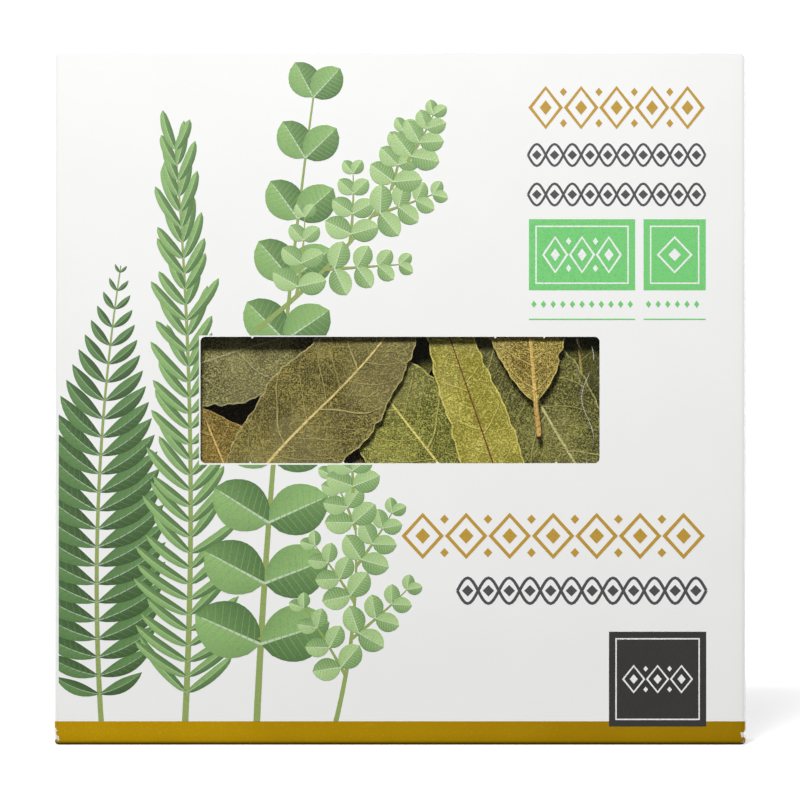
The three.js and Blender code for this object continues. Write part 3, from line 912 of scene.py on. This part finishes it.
def bay_leaf(leaf, material, stations, columns):
    """A dried bay leaf: a thin blade with a raised rib and veins, lifted margins and a round stalk."""
    stalk_end = -leaf["stalk"] / leaf["length"]
    even = np.linspace(0, 1, stations)
    blade = ((1 - np.cos(math.pi * even)) / 2 + even) / 2
    s = np.concatenate([np.linspace(stalk_end, 0, STALK_STATIONS, endpoint=False), blade])
    spread = np.linspace(-1, 1, columns)
    s, t = np.meshgrid(s, np.sign(spread) * np.abs(spread) ** COLUMN_POWER, indexing="ij")
    on_leaf = np.clip(s, 0, 1)
    middle, half = leaf_middle(leaf, s, t)
    across = t * half
    nicks = np.abs(t) ** 6 * np.sign(t) * margin_nicks(leaf, s, t)
    turn = math.radians(leaf["angle"])
    middle += np.array([-math.sin(turn), 0, math.cos(turn)]) * nicks[..., None]
    rim = np.where(s > 0, half - np.abs(across), FAR)
    count = vein_count(leaf, s, t, half)
    to_vein = np.abs(count - np.round(count)) * leaf["spacing"] * VEIN_NARROWING
    on_blade = np.clip(s * leaf["length"] / STALK_RUN, 0, 1)
    rib_width = RIB_WIDTH * (RIB_TAPER - on_leaf)
    rib = RIB_HEIGHT * (1 - RIB_FALL * on_leaf) * np.exp(-(across / rib_width) ** 2)
    vein = VEIN_HEIGHT * np.exp(-(to_vein / VEIN_WIDTH) ** 2) * np.clip(rim / VEIN_FADE, 0, 1)
    sheet = (RIM_THICKNESS + (BLADE_THICKNESS - RIM_THICKNESS) * np.clip(rim, 0, 1)) / 2
    round_stalk = STALK_THICKNESS / 2 * np.sqrt(np.clip(1 - t * t, 0.02, 1))
    thick = np.where(s > 0, (1 - on_blade) * np.maximum(round_stalk, sheet) + on_blade * sheet, round_stalk)
    relief = on_blade * (rib + vein)
    ripple = np.sin(across * WAVE_ACROSS + leaf["phase"])
    ripple = ripple * np.sin(s * leaf["length"] / WAVE_ALONG + leaf["phase"] * 2)
    lift = on_blade * (WAVE * ripple - RIM_LIFT * np.abs(t) ** 8)
    back, front = middle.copy(), middle.copy()
    back[..., 1] += lift + thick + BACK_RELIEF * relief
    front[..., 1] += lift - thick - relief
    stalk = np.where(s < 0, np.clip(s / stalk_end, 0, 1), -1)
    place = surface(on_leaf, across, count).reshape(-1, 3)
    edge = surface(rim, stalk, leaf["spacing"]).reshape(-1, 3)
    attributes = {"leaf_place": np.tile(place, (2, 1)), "leaf_rim": np.tile(edge, (2, 1))}
    points = np.concatenate([back, front]).reshape(-1, 3)
    faces, _ = sheet_faces(*s.shape)
    name = "bay_" + leaf["name"]
    return mesh_piece(name, points, faces, [material], attributes=attributes, sharp=LEAF_SHARP_ANGLE)


class Ink:
    """Printed shapes on the front panel, each laid a little over the one before."""

    def __init__(self, level):
        self.points = []
        self.colours = []
        self.faces = []
        self.level = level
        self.lift = INK_LIFT

    def start_apart(self):
        """The shapes that follow lie clear of those before, so they start from the board again."""
        self.lift = INK_LIFT

    def add(self, places, colours, over):
        """Takes places as (x, z) with their colours, over the shape before or level with it."""
        first = len(self.points)
        if over:
            self.lift += self.level
        self.points += [(x, -self.lift, z) for x, z in places]
        self.colours += [tuple(colour) for colour in colours]
        return first + np.arange(len(places))

    def grid(self, places, colours, over=True):
        rows, columns = places.shape[:2]
        spread = np.broadcast_to(colours, (rows, columns, 4))
        index = self.add(places.reshape(-1, 2), spread.reshape(-1, 4), over).reshape(rows, columns)
        self.faces += grid_faces(index)[:, TURNED].tolist()

    def polygon(self, outline, colour):
        self.faces.append(self.add(outline, [colour] * len(outline), over=True).tolist())

    def box(self, span, heights, colour):
        x, z = np.meshgrid(steps_between(*span, CELL), steps_between(*heights, CELL), indexing="ij")
        self.grid(np.stack([x, z], -1), colour)

    def ring(self, outline, width, colour):
        """A line of the width just inside an outline with straight sides."""
        corners = np.array(outline, float)
        centre = corners.mean(axis=0)
        shares = np.linspace(0, 1, RING_STEPS, endpoint=False)[:, None]
        sides = zip(corners, np.roll(corners, -1, axis=0))
        outline = np.concatenate([start + (end - start) * shares for start, end in sides])
        reach = np.abs(outline - centre).max(axis=0)
        inner = centre + (outline - centre) * (reach - width) / reach
        both = np.stack([outline, inner], axis=1)
        self.grid(np.concatenate([both, both[:1]]), colour)

    def ribbon(self, spine, widths, colour, over=True):
        way = np.gradient(spine, axis=0)
        way /= np.linalg.norm(way, axis=1, keepdims=True)
        normal = np.column_stack([-way[:, 1], way[:, 0]]) * np.asarray(widths)[:, None] / 2
        self.grid(np.stack([spine - normal, spine + normal], axis=1), colour, over)

    def blade(self, base, heading, length, width, tones, fullness, bend):
        """A leaf with a shaded and a lit half, a pale rib and, where it is wide, veins."""
        s = np.linspace(0, 1, BLADE_STEPS)
        turn = heading + bend * (s - 0.3)
        way = np.column_stack([np.cos(turn), np.sin(turn)])
        steps = np.concatenate([[[0, 0]], np.cumsum(way[:-1], axis=0)])
        spine = np.array(base) + steps * length / (BLADE_STEPS - 1)
        normal = np.column_stack([-way[:, 1], way[:, 0]])
        half = width / 2 * np.sin(math.pi * s) ** fullness + BLADE_LEAST
        t = BLADE_ACROSS
        places = spine[:, None] + normal[:, None] * (half[:, None] * t)[..., None]
        share = np.clip(np.where(t > 0, 0.85, 0.2) - 0.25 * np.abs(t) + 0.35 * (s[:, None] - 0.4), 0, 1)
        shaded, lit = (np.array(tone) for tone in tones)
        self.grid(places, shaded + (lit - shaded) * share[..., None])
        pale = lit * 0.6 + 0.4 * np.array(PRINT_WHITE)
        self.ribbon(spine[:-1], np.linspace(0.05, 0.02, BLADE_STEPS - 1) * width, pale)
        if width > VEINED_WIDTH:
            self.lift += self.level
            for step in range(1, BLADE_STEPS - 2):
                for side in (-1, 1):
                    end = spine[step + 1] + side * normal[step + 1] * half[step + 1] * VEIN_REACH
                    vein = np.linspace(spine[step], end, VEIN_STEPS)
                    self.ribbon(vein, PRINTED_VEIN, shaded * 0.4 + lit * 0.6, over=False)


def on_stem(sprig, s):
    """The place at s on a sprig's bowed stem, and the way the stem heads there."""
    foot, tip = np.array(sprig["foot"], float), np.array(sprig["tip"], float)
    middle = (foot + tip) / 2 + np.array([sprig["bow"], 0])
    place = (1 - s) ** 2 * foot + 2 * s * (1 - s) * middle + s ** 2 * tip
    way = (1 - s) * (middle - foot) + s * (tip - middle)
    return place, math.atan2(way[1], way[0])


def draw_stem(ink, sprig, width):
    shares = np.linspace(0, 1, STEM_STEPS)
    spine = np.array([on_stem(sprig, s)[0] for s in shares])
    ink.ribbon(spine, width * (1 - STEM_TAPER * shares), STEM_GREEN)


def draw_pairs(ink, sprig, habit, leaf_form):
    """A stem with pairs of leaves, each turned and as long as its form says for its place up the stem."""
    draw_stem(ink, sprig, habit["stem"])
    for s in np.linspace(*habit["span"], habit["pairs"]):
        place, heading = on_stem(sprig, s)
        for side in (1, -1):
            turn, share = leaf_form(s)
            way = heading + side * math.radians(habit["angle"] - habit["closing"] * s + turn)
            length = sprig["leaf"] * share
            width = habit.get("width") or habit["slim"] * length
            ink.blade(place, way, length, width, sprig["tones"], habit["full"], -side * habit["bend"])


def fern_leaf(s):
    return 0, math.sin(math.pi * s ** 0.6) + 0.1


def round_leaf(s):
    return 0, 1 - 0.5 * s


def draw_twigs(ink, sprig):
    """A stem with short twigs of round leaves, to one side and the other."""
    draw_stem(ink, sprig, TWIGGY_STEM)
    for number, s in enumerate(np.linspace(TWIGS_START, 1, TWIGS)):
        place, heading = on_stem(sprig, s)
        way = heading + (-1) ** number * TWIG_ANGLE * (1 - s ** 4)
        reach = sprig["leaf"] * (2.9 - 1.1 * s)
        tip = place + reach * np.array([math.cos(way), math.sin(way)])
        draw_pairs(ink, dict(sprig, foot=place, tip=tip, bow=TWIG_BOW), TWIG, round_leaf)


def print_sprigs():
    ink = Ink(SPRIG_LEVEL)
    numbers = seeded_numbers(PRINT_SEED)

    def needle_leaf(s):
        turn = NEEDLE_TURN * (next(numbers) - 0.5)
        return turn, (0.8 + 0.3 * next(numbers)) * (1 - 0.4 * s)

    paired = {"fern": (FERN, fern_leaf), "needles": (NEEDLES, needle_leaf), "rounds": (ROUNDS, round_leaf)}
    for sprig in SPRIGS:
        if sprig["kind"] in paired:
            draw_pairs(ink, sprig, *paired[sprig["kind"]])
        else:
            draw_twigs(ink, sprig)
    return ink


def lozenge(x, z, width, height):
    return [(x - width / 2, z), (x, z - height / 2), (x + width / 2, z), (x, z + height / 2)]


def lozenge_chain(ink, colour, span, heights, count, line):
    """A row of open lozenges with a small full one in each and between each two."""
    pitch = (span[1] - span[0]) / count
    middle = (heights[0] + heights[1]) / 2
    height = heights[1] - heights[0]
    for number in range(count):
        x = span[0] + (number + 0.5) * pitch
        ink.ring(lozenge(x, middle, 0.98 * pitch, height), line, colour)
        ink.polygon(lozenge(x, middle, 0.34 * pitch, 0.34 * height), colour)
        if number:
            for z in (middle - 0.36 * height, middle + 0.36 * height):
                ink.polygon(lozenge(x - pitch / 2, z, 0.2 * pitch, 0.2 * height), colour)


def twisted_line(ink, colour, span, middle, swing, wave, line):
    """Two waved lines that cross each other, with a lozenge in each eye."""
    x = steps_between(*span, wave / WAVE_STEPS)
    for side in (1, -1):
        z = middle + side * swing * np.sin(2 * math.pi * (x - span[0]) / wave)
        ink.ribbon(np.column_stack([x, z]), np.full(len(x), line), colour)
    for eye in np.arange(span[0] + wave / 4, span[1], wave / 2):
        ink.polygon(lozenge(eye, middle, 0.9 * swing, 0.9 * swing), colour)


def framed_box(ink, colour, span, heights):
    """A full box with a white line inside its edge. Gives the span that the line leaves free."""
    ink.box(span, heights, colour)
    (x0, x1), (z0, z1) = span, heights
    x0, z0 = x0 + KEYLINE_INSET, z0 + KEYLINE_INSET
    x1, z1 = x1 - KEYLINE_INSET, z1 - KEYLINE_INSET
    ink.ring([(x0, z0), (x1, z0), (x1, z1), (x0, z1)], KEYLINE, PRINT_WHITE)
    return x0 + KEYLINE_INSET, x1 - KEYLINE_INSET


def print_ornaments():
    ink = Ink(ORNAMENT_LEVEL)
    lozenge_chain(ink, PRINT_GOLD, **TOP_CHAIN)
    for middle in TOP_LINE_MIDDLES:
        ink.start_apart()
        twisted_line(ink, PRINT_DARK, middle=middle, **TOP_LINE)
    for span in TILE_SPANS:
        ink.start_apart()
        inside = framed_box(ink, PRINT_GREEN, span, TILE_HEIGHTS)
        count = round((inside[1] - inside[0]) / TILE_LOZENGE)
        lozenge_chain(ink, PRINT_WHITE, inside, count=count, **TILE_CHAIN)
        ink.box(span, (TILE_RULE, TILE_RULE + KEYLINE), PRINT_GREEN)
        for x in np.arange(span[0] + DOT_INSET, span[1], DOT_PITCH):
            ink.polygon(lozenge(x, DOT_HEIGHT, *DOT_SIZE), PRINT_GREEN)
    ink.start_apart()
    lozenge_chain(ink, PRINT_GOLD, **LOW_CHAIN)
    ink.start_apart()
    twisted_line(ink, PRINT_DARK, **LOW_LINE)
    ink.start_apart()
    inside = framed_box(ink, PRINT_CHARCOAL, SQUARE_SPAN, SQUARE_HEIGHTS)
    lozenge_chain(ink, PRINT_WHITE, inside, **SQUARE_CHAIN)
    return ink


def clip_print(shape):
    """Cuts the print at the window and at the panel's left edge, and takes away what lies beyond."""
    low = WINDOW_LOW - INK_EDGE
    high = WINDOW_HIGH + INK_EDGE
    left = -(HALF_WIDTH - FOLD)
    cuts = [((x, 0, 0), (1, 0, 0)) for x in (left, low[0], high[0])]
    cuts += [((0, 0, z), (0, 0, 1)) for z in (low[1], high[1])]
    for place, normal in cuts:
        everything = shape.verts[:] + shape.edges[:] + shape.faces[:]
        bmesh.ops.bisect_plane(shape, geom=everything, plane_co=place, plane_no=normal)

    def hidden(face):
        x, _, z = face.calc_center_median()
        return x < left or (low[0] < x < high[0] and low[1] < z < high[1])

    bmesh.ops.delete(shape, geom=[face for face in shape.faces if hidden(face)], context="FACES")


def print_piece(name, ink, material):
    """The printed shapes as one closed piece that follows the front panel and is rooted in it."""
    shape = bmesh.new()
    tint = shape.verts.layers.float_color.new("ink")
    verts = [shape.verts.new(point) for point in ink.points]
    for vert, colour in zip(verts, ink.colours):
        vert[tint] = colour
    for face in ink.faces:
        shape.faces.new([verts[number] for number in face])
    clip_print(shape)
    shape.verts.index_update()
    top = np.array([vert.co for vert in shape.verts])
    colours = np.array([vert[tint] for vert in shape.verts])
    faces = [[vert.index for vert in face.verts] for face in shape.faces]
    loops = [loop for face in shape.faces for loop in face.loops if loop.edge.is_boundary]
    edges = [(loop.vert.index, loop.link_loop_next.vert.index) for loop in loops]
    shape.free()
    count = len(top)
    root = top.copy()
    root[:, 1] = INK_ROOT
    points = np.concatenate([top, root])
    points[:, 1] -= HALF_DEPTH + front_bulge(points[:, 0], points[:, 2])
    walls = [[b, a, a + count, b + count] for a, b in edges]
    backs = [[number + count for number in face[::-1]] for face in faces]
    attributes = {"ink": np.concatenate([colours, colours])}
    return mesh_piece(name, points, faces + backs + walls, [material], attributes=attributes)


def add_camera():
    camera = bpy.data.objects.new("camera", bpy.data.cameras.new("camera"))
    camera.data.sensor_width = SENSOR
    camera.data.lens = SENSOR * CAMERA_DISTANCE / (2 * HALF_WIDTH / FRONT_SHARE)
    camera.location = (0, (-HALF_DEPTH - CAMERA_DISTANCE) * MM, CAMERA_HEIGHT * MM)
    camera.rotation_euler = (math.pi / 2, 0, 0)
    bpy.context.scene.collection.objects.link(camera)
    bpy.context.scene.camera = camera


def stage_material():
    graph = Graph("pale_stage")
    x, y, z = graph.parts(graph.place)
    away = graph.ramp(x * x + y * y + z * z, SHADOW_REACH ** 2, GLOW_REACH ** 2)
    graph.set(Base_Color=graph.mix(graph.noise(grain=300), srgb(236, 236, 236), srgb(244, 244, 244)))
    graph.set(Roughness=0.9, Emission_Color=(1, 1, 1, 1), Emission_Strength=0.46 + away * 0.47)
    return graph.material


def add_stage():
    """A pale floor that sweeps up far behind, seen but casting no light of its own on the carton."""
    profile = [(-FLOOR_RUN, 0), *FLOOR_SWEEP]
    points = [(x, y, z - FLOOR_GAP * MM) for y, z in profile for x in (-FLOOR_RUN, FLOOR_RUN)]
    faces = [(2 * i, 2 * i + 1, 2 * i + 3, 2 * i + 2) for i in range(len(profile) - 1)]
    floor = mesh_piece("floor", np.array(points) / MM, faces, [stage_material()])
    floor.visible_diffuse = False
    floor.visible_glossy = False


def area_light(name, place, size, power):
    light = bpy.data.objects.new(name, bpy.data.lights.new(name, "AREA"))
    light.data.shape = "DISK"
    light.data.size = size
    light.data.energy = power
    light.location = place
    bpy.context.scene.collection.objects.link(light)
    x, y, z = np.array(LIGHT_TARGET) - np.array(place)
    tilt = math.acos(-z / math.hypot(x, y, z))
    light.rotation_euler = (tilt, 0, math.atan2(y, x) - math.pi / 2)


def add_lights():
    for light in LIGHTS:
        area_light(**light)
    world = bpy.data.worlds.new("studio")
    world.use_nodes = True
    sky = world.node_tree.nodes["Background"]
    sky.inputs["Color"].default_value = (1, 1, 1, 1)
    sky.inputs["Strength"].default_value = SKY_STRENGTH
    bpy.context.scene.world = world
    bpy.context.scene.view_settings.view_transform = "Standard"
    bpy.context.scene.view_settings.look = "None"


add_camera()

board_white = board_material("board_outside", srgb(241, 241, 240), srgb(236, 236, 235), 0.42, 0.012)
board_inside = board_material("board_inside", srgb(224, 222, 216), srgb(206, 203, 196), 0.8, 0.03)
board_edge = board_material("board_cut_edge", srgb(246, 246, 243), srgb(226, 225, 220), 0.9, 0.05)

sleeve = carton_sleeve([board_white, gold_material(), board_inside, board_edge])
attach(sleeve, "carton")
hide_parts("carton_sleeve")

folded = [board_white, board_inside, board_edge]
for side, node in ((1, "dust_flap_right"), (-1, "dust_flap_left")):
    flap = dust_flap(side, folded)
    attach(flap, "carton")
    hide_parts(node)

inner_flap = glue_flap(folded)
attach(inner_flap, "carton")

lid = carton_lid(folded)
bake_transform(lid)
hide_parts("lid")

film = window_film(film_material())
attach(film, "carton")
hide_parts("window_film")

ink = ink_material()
for name, shapes in (("print_sprigs", print_sprigs()), ("print_ornaments", print_ornaments())):
    printed = print_piece(name, shapes, ink)
    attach(printed, "carton")

slots = {row["node"]: row["material_slot"] for row in frame["record"]["subparts"]}
back_materials = {
    slot: leaf_material(slot, LEAF_TONES[leaf], USUAL_RIB_SHOWN) for slot, leaf in SLOT_TONES.items()
}
for leaf in all_leaves():
    node = leaf["name"]
    if node in LEAF_TONES:
        blade = leaf_material(node + "_blade", LEAF_TONES[node], RIB_SHOWN.get(node, USUAL_RIB_SHOWN))
        piece = bay_leaf(leaf, blade, *WINDOW_MESH)
    else:
        piece = bay_leaf(leaf, back_materials[slots[node]], *BACK_MESH)
    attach(piece, "carton")
    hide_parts(node)

add_stage()
add_lights()
